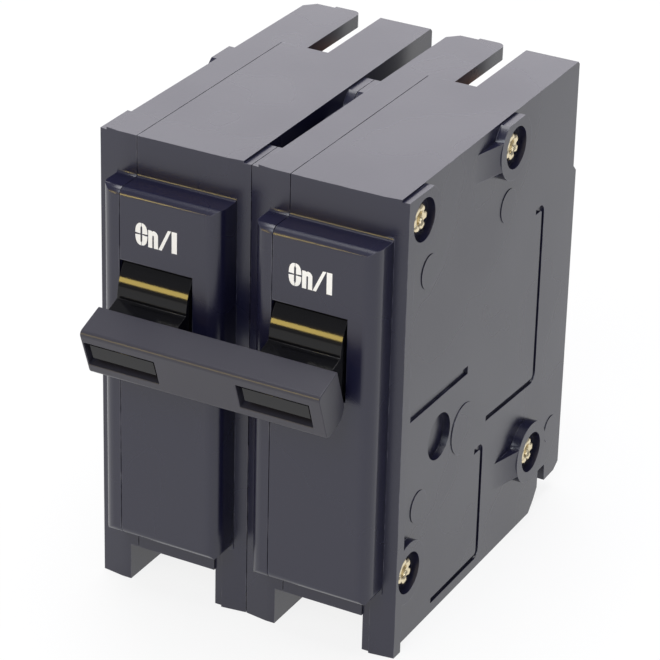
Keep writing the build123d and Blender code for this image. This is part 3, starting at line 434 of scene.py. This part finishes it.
# %% [markdown]
# ## The switch marks
# Each block carries a plain white mark above its handle: bold, narrow letters for on, a slash and an
# upright bar. They are printed through a stencil, so the round letter falls into four strokes. Each
# stroke is an outline, drawn in millimetres from the mark's lower left corner, and filled as one flat
# face a hundredth of a millimetre proud of the block.

# %% Marks
face_depth = -28.15
mark_left = 9.3
mark_low = 60.2
ring_wide = 2.05
ring_tall = 3.55
ring_slit = 0.17
ring_bore = 0.16
ring_split = 0.035
ring_power = 0.8
curve_steps = 10
letter_notch = 0.12
capital = 3.4
ink_lift = 0.01


def ring_stroke(hand, lift):
    """A quarter of the round letter: an outer curve from the side's slit to the top's split."""
    low = math.asin(ring_slit / ring_tall)
    high = math.acos((2 * ring_split / ring_wide) ** (1 / ring_power))
    points = []
    for count in range(curve_steps + 1):
        angle = low + (high - low) * count / curve_steps
        out = math.cos(angle) ** ring_power * ring_wide / 2
        up = math.sin(angle) ** ring_power * ring_tall / 2
        points.append((out, max(up, ring_slit / 2)))
    points.append((ring_split, 0.78 * ring_tall / 2))
    points.append((ring_bore, 0.58 * ring_tall / 2))
    points.append((ring_bore, ring_slit / 2))
    return [(ring_wide / 2 + hand * out, ring_tall / 2 + lift * up) for out, up in points]


def arch(start, thick, gap, tall, turn):
    """The small letter: a stem, and a leg that leaves it in a round shoulder."""
    wide = 2 * thick + gap
    shoulder = []
    for count in range(curve_steps + 1):
        angle = math.radians(90 * count / curve_steps)
        across = start + wide - turn + turn * math.sin(angle)
        shoulder.append((across, tall - turn + turn * math.cos(angle)))
    return [
        (start, 0),
        (start, tall),
        (start + thick * 0.75, tall),
        (start + thick, tall - letter_notch),
        (start + thick * 1.25, tall),
        *shoulder,
        (start + wide, 0),
        (start + thick + gap, 0),
        (start + thick + gap, tall - 0.85),
        (start + thick + gap / 2, tall - 0.7),
        (start + thick, tall - 0.85),
        (start + thick, 0),
    ]


strokes = [ring_stroke(hand, lift) for hand in (-1, 1) for lift in (-1, 1)]
strokes.append(arch(start=2.18, thick=0.69, gap=0.27, tall=2.75, turn=0.75))
strokes.append([(3.9, 0.0), (4.45, 0.0), (6.02, capital), (5.5, capital)])
strokes.append([(6.12, 0.0), (7.0, 0.0), (7.0, capital), (6.12, capital)])

for side, left in poles:
    bm = bmesh.new()
    corner = Vector((left + mark_left, face_depth - ink_lift, mark_low)) * mm
    for stroke in strokes:
        rim = [bm.verts.new(corner + Vector((x, 0, z)) * mm) for x, z in stroke]
        face = bm.faces.new(rim)
        face.normal_update()
        if face.normal.y > 0:
            face.normal_flip()
    bmesh.ops.triangulate(bm, faces=bm.faces)
    mark = piece_from(bm, f"switch_mark_{side}", "case", print_white)
    print(mark.name, "faces", len(mark.data.polygons))

# %% [markdown]
# ## The rivets
# Four tubular rivets run through both poles. Their left ends are plain round heads. On the right the
# tube was split and rolled back by the closing tool, so each end is a small rosette of six petals
# around an open bore. A profile is spun into a rolled rim, and the rim is then drawn in between the
# petals.

# %% Rivets
rivet_end = 24.1
rivet_places = [(-18.0, 70.1), (11.45, 70.1), (22.75, 13.5), (-18.75, 12.8)]
rim = [
    (0.9, -1.2),
    (0.95, 0.3),
    (1.15, 0.55),
    (1.5, 0.68),
    (1.9, 0.6),
    (2.2, 0.35),
    (2.3, 0.1),
    (2.2, 0.0),
    (1.5, 0.0),
]
rim_reach = 2.6
rim_rise = 0.7
petals = 6
petal_start = 1.2
petal_length = 1.1
notch_depth = 0.3
notch_power = 6
turn_between_rivets = 0.5


def rosette(bm, centre, low):
    """The vertices of one rivet's clinched end, past a place across."""
    near = [vert for vert in bm.verts if (vert.co - centre).length < rim_reach * mm]
    return [vert for vert in near if vert.co.x > (rivet_end + low) * mm]


bm = bmesh.new()
bm.from_mesh(nodes["rivets"].data)
bmesh.ops.remove_doubles(bm, verts=bm.verts, dist=same_point * mm)
past = [vert for vert in bm.verts if vert.co.x > (rivet_end + 0.1) * mm]
bmesh.ops.delete(bm, geom=past, context="VERTS")
for count, (depth, height) in enumerate(rivet_places):
    centre = Vector((rivet_end * mm, depth * mm, height * mm))
    places = [centre + Vector((rise * mm, radius * mm, 0)) for radius, rise in rim]
    chain = [bm.verts.new(place) for place in places]
    edges = [bm.edges.new(pair) for pair in zip(chain, chain[1:])]
    bmesh.ops.spin(
        bm,
        geom=chain + edges,
        cent=centre,
        axis=(1, 0, 0),
        angle=math.tau,
        steps=72,
        use_merge=True,
    )
    bmesh.ops.remove_doubles(bm, verts=rosette(bm, centre, -1.3), dist=same_point * mm)
    for vert in rosette(bm, centre, -0.1):
        away = vert.co - centre
        radius = math.hypot(away.y, away.z) / mm
        if radius < petal_start:
            continue
        angle = math.atan2(away.z, away.y) + turn_between_rivets * count
        notch = abs(math.sin(petals / 2 * angle)) ** notch_power
        share = 1 - notch_depth * notch * (radius - petal_start) / petal_length
        vert.co.y = centre.y + away.y * share
        vert.co.z = centre.z + away.z * share
        vert.co.x -= notch_depth * mm * notch * max(away.x / mm, 0) / rim_rise
bmesh.ops.recalc_face_normals(bm, faces=bm.faces)
for face in bm.faces:
    face.smooth = True
rivets = piece_from(bm, "clinched_rivets", "case", finishes["rivet_brass"])
rivets.data.set_sharp_from_angle(angle=math.radians(50))
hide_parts("rivets")
print("rivets, faces", len(rivets.data.polygons))

# %% [markdown]
# ## Floor and light
# A pale floor and a pale room. The floor glows white to the camera and in reflections, and is plain
# paint to the lamps. One broad lamp stands above and behind, because the tops of the cases mirror
# what is behind them. One fills the front, one hangs over the whole, and a small warm one draws a
# thin line along each round barrel.

# %% Floor
floor_half = 4.0
floor_glow = 0.85

bm = bmesh.new()
bmesh.ops.create_grid(bm, x_segments=1, y_segments=1, size=floor_half)
floor_mesh = bpy.data.meshes.new("floor")
bm.to_mesh(floor_mesh)
bm.free()
floor = bpy.data.objects.new("floor", floor_mesh)
scene.collection.objects.link(floor)
floor_paint, tree, paint = new_material("floor_paint")
paint.inputs["Base Color"].default_value = (0.86, 0.86, 0.87, 1.0)
paint.inputs["Roughness"].default_value = 0.8
paint.inputs["Specular IOR Level"].default_value = 0.0
glow = add(tree, "ShaderNodeEmission")
path = add(tree, "ShaderNodeLightPath")
direct = add(tree, "ShaderNodeMath", operation="ADD")
tree.links.new(path.outputs["Is Camera Ray"], direct.inputs[0])
tree.links.new(path.outputs["Is Glossy Ray"], direct.inputs[1])
seen = add(tree, "ShaderNodeMath", operation="ADD", use_clamp=True)
tree.links.new(direct.outputs[0], seen.inputs[0])
tree.links.new(path.outputs["Is Transmission Ray"], seen.inputs[1])
share = add(tree, "ShaderNodeMath", operation="MULTIPLY")
share.inputs[1].default_value = floor_glow
tree.links.new(seen.outputs[0], share.inputs[0])
blend = add(tree, "ShaderNodeMixShader")
tree.links.new(share.outputs[0], blend.inputs["Fac"])
tree.links.new(paint.outputs["BSDF"], blend.inputs[1])
tree.links.new(glow.outputs["Emission"], blend.inputs[2])
tree.links.new(blend.outputs["Shader"], tree.nodes["Material Output"].inputs["Surface"])
floor_mesh.materials.append(floor_paint)


# %% Lamps
def lamp(name, place, aim, wide, tall, power, colour=(1.0, 1.0, 1.0)):
    """A soft rectangular lamp at one place, aimed at another."""
    data = bpy.data.lights.new(name, "AREA")
    data.shape = "RECTANGLE"
    data.size = wide
    data.size_y = tall
    data.energy = power
    data.color = colour
    light = bpy.data.objects.new(name, data)
    light.location = place
    light.rotation_euler = (Vector(aim) - Vector(place)).to_track_quat("-Z", "Y").to_euler()
    scene.collection.objects.link(light)


middle = (0.0, 0.0, 0.04)
lamp("back_lamp", (-0.52, 0.98, 0.62), middle, 0.9, 0.9, 4.6, (1.0, 0.97, 1.0))
lamp("top_lamp", (0.0, 0.0, 1.1), middle, 0.8, 0.8, 9.0)
lamp("front_lamp", (0.1, -1.1, 1.0), middle, 0.7, 0.7, 7.5, (0.9, 0.95, 1.0))
lamp("warm_lamp", (-0.63, -1.34, 0.33), middle, 0.34, 0.2, 4.0, (1.0, 0.74, 0.2))

world = bpy.data.worlds.new("room")
scene.world = world
world.use_nodes = True
tree = world.node_tree
room = tree.nodes["Background"]
room.inputs["Color"].default_value = (0.93, 0.94, 1.0, 1.0)
room.inputs["Strength"].default_value = 0.35
scene.view_settings.view_transform = "Standard"
print("lamps", len(bpy.data.lights), "floor", floor.name)
